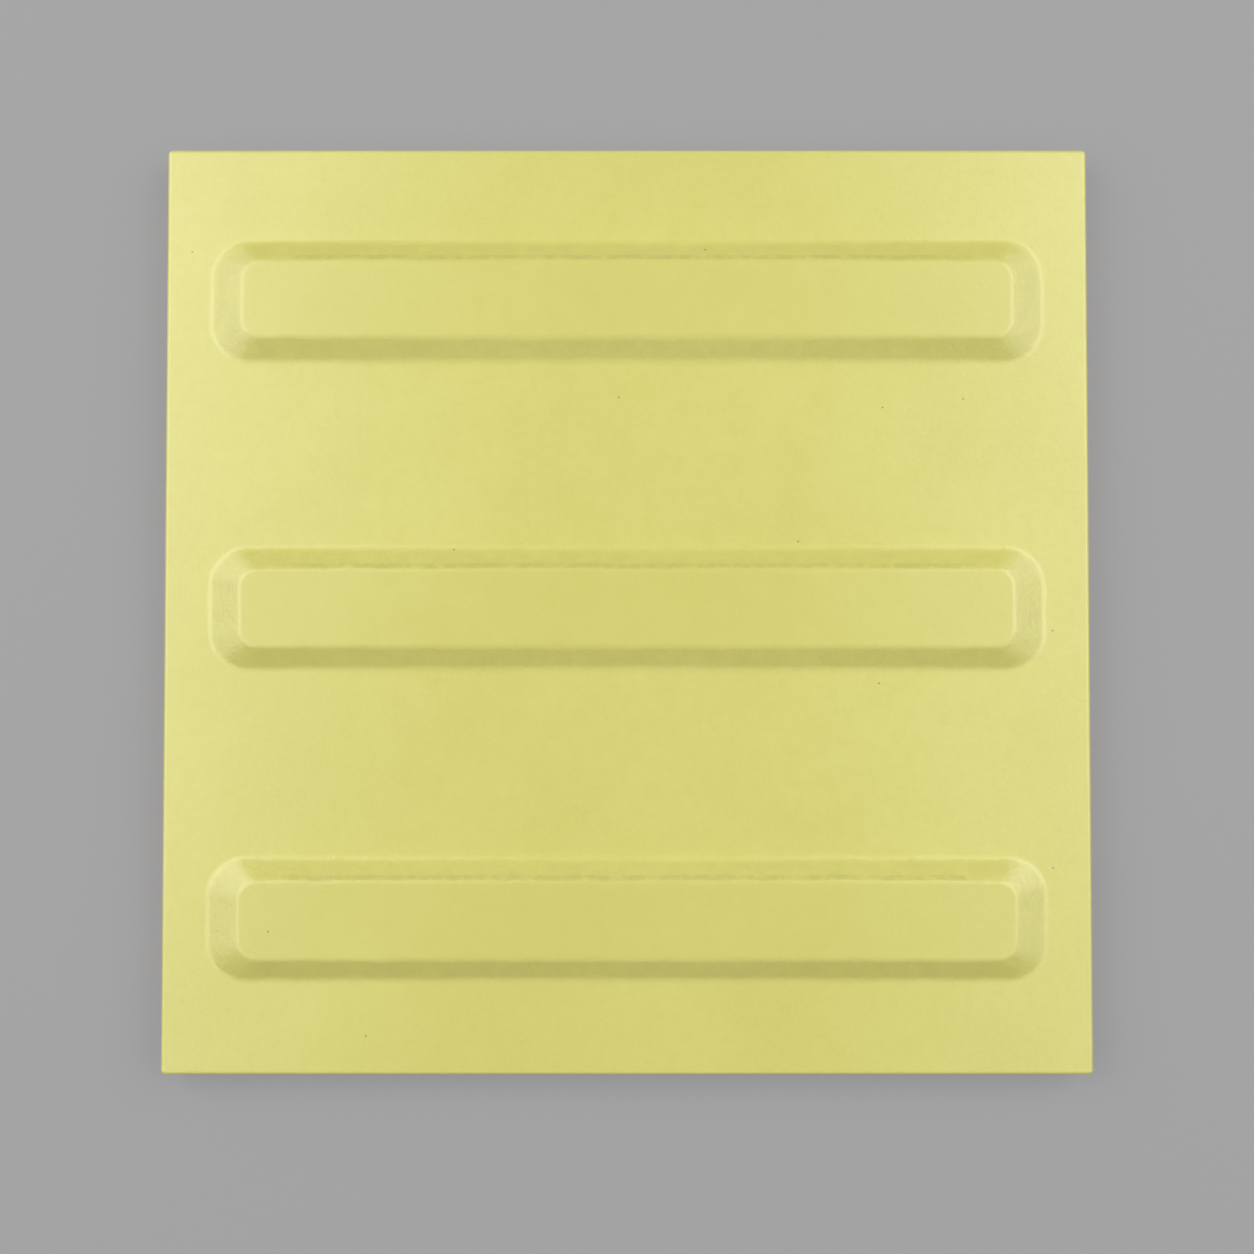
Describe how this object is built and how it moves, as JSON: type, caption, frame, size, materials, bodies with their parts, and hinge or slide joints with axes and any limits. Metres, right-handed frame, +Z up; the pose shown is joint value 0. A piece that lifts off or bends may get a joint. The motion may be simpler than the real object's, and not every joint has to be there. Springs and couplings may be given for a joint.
{
  "type": "tactile paving slab",
  "caption": "Square yellow glazed paving slab with raised, round-cornered guide bars along its walking face and a shallow cell grid in its back; bedded in mortar to guide a foot or cane.",
  "frame": {"origin": "middle of the back, on the plane that the slab lies on", "axes": "+X along the guide bars, +Y across them, +Z up out of the walking face"},
  "size_m": [0.3, 0.3, 0.018],
  "materials": {
    "satin_yellow_glaze": "satin"
  },
  "bodies": {
    "root": {"tactile_slab": "satin_yellow_glaze"}
  },
  "joints": []
}
